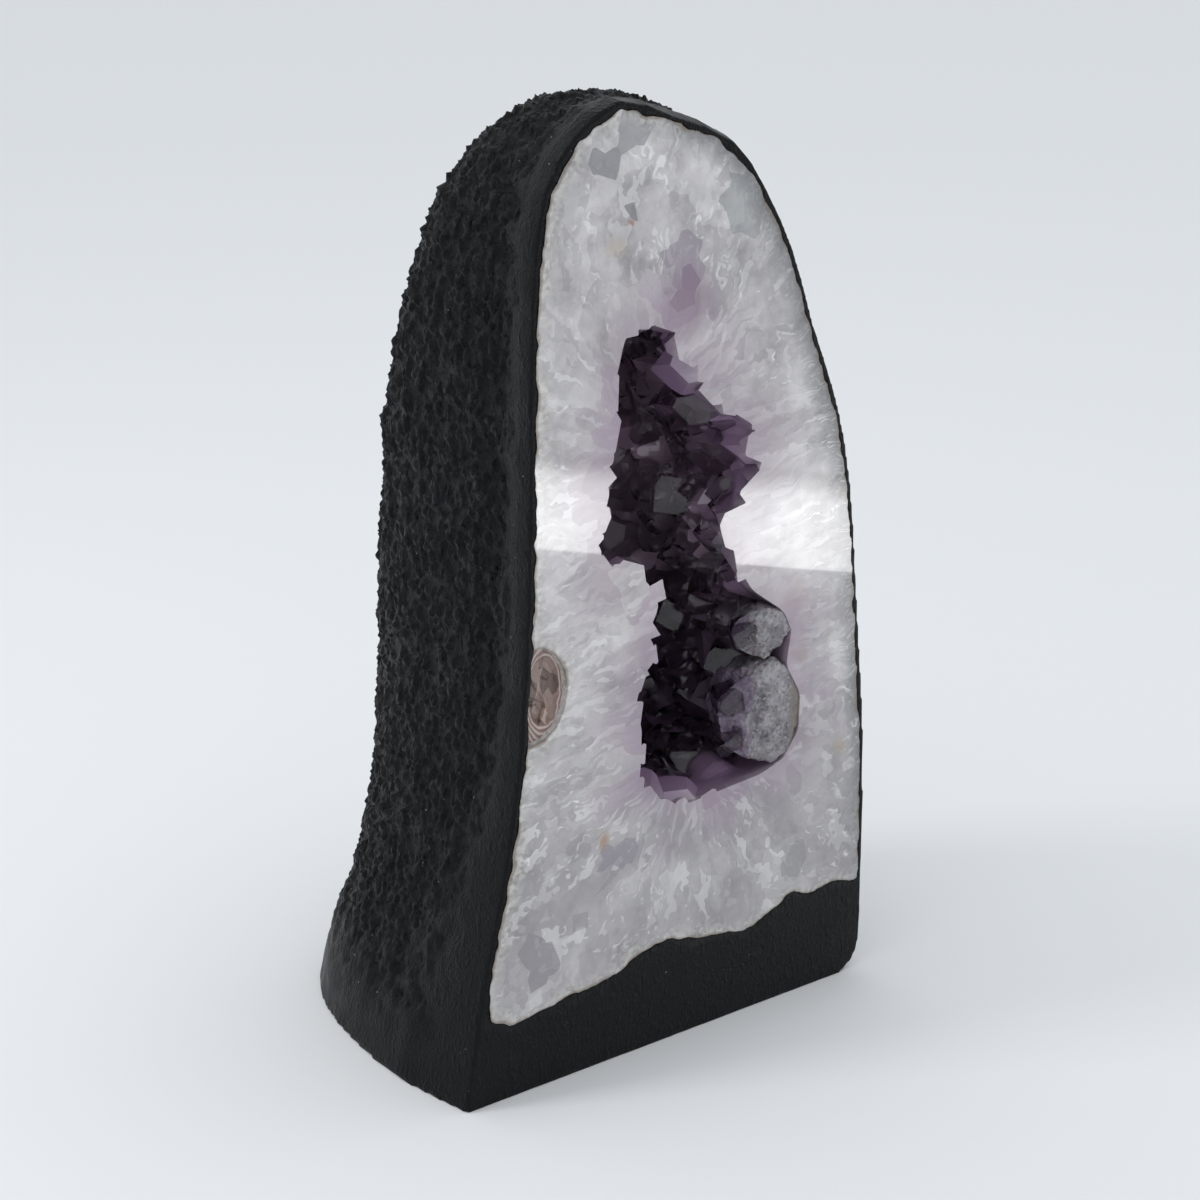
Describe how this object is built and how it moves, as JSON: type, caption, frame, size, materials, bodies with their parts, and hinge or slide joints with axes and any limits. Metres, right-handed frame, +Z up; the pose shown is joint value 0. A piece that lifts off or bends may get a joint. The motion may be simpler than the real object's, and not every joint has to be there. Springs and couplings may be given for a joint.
{
  "type": "amethyst geode",
  "caption": "Amethyst geode cut to stand upright: polished quartz face round a crystal-lined hollow, with a black cement coat and a flat foot.",
  "frame": {"origin": "centre of the bounding box's underside, on the surface that the geode stands on", "axes": "+Z up, along the height of the stone; +X to the right along the polished face, seen from in front; +Y from the polished face towards the rounded back"},
  "size_m": [0.2, 0.152, 0.3634],
  "materials": {
    "cement": "black cement, matt and knobbly, brushed smooth on the foot and beside the face",
    "quartz": "milky quartz, sawn and polished, turning to clear purple crystals in the hollow",
    "agate": "banded pinkish brown agate, flaked",
    "chalcedony": "grey blue chalcedony, finely grained, with purple crystals on its edge"
  },
  "bodies": {
    "root": {"cement_coat": "cement", "amethyst_and_quartz": "quartz", "agate_nodule": "agate", "large_chalcedony_nodule": "chalcedony", "small_chalcedony_nodule": "chalcedony"}
  },
  "joints": []
}
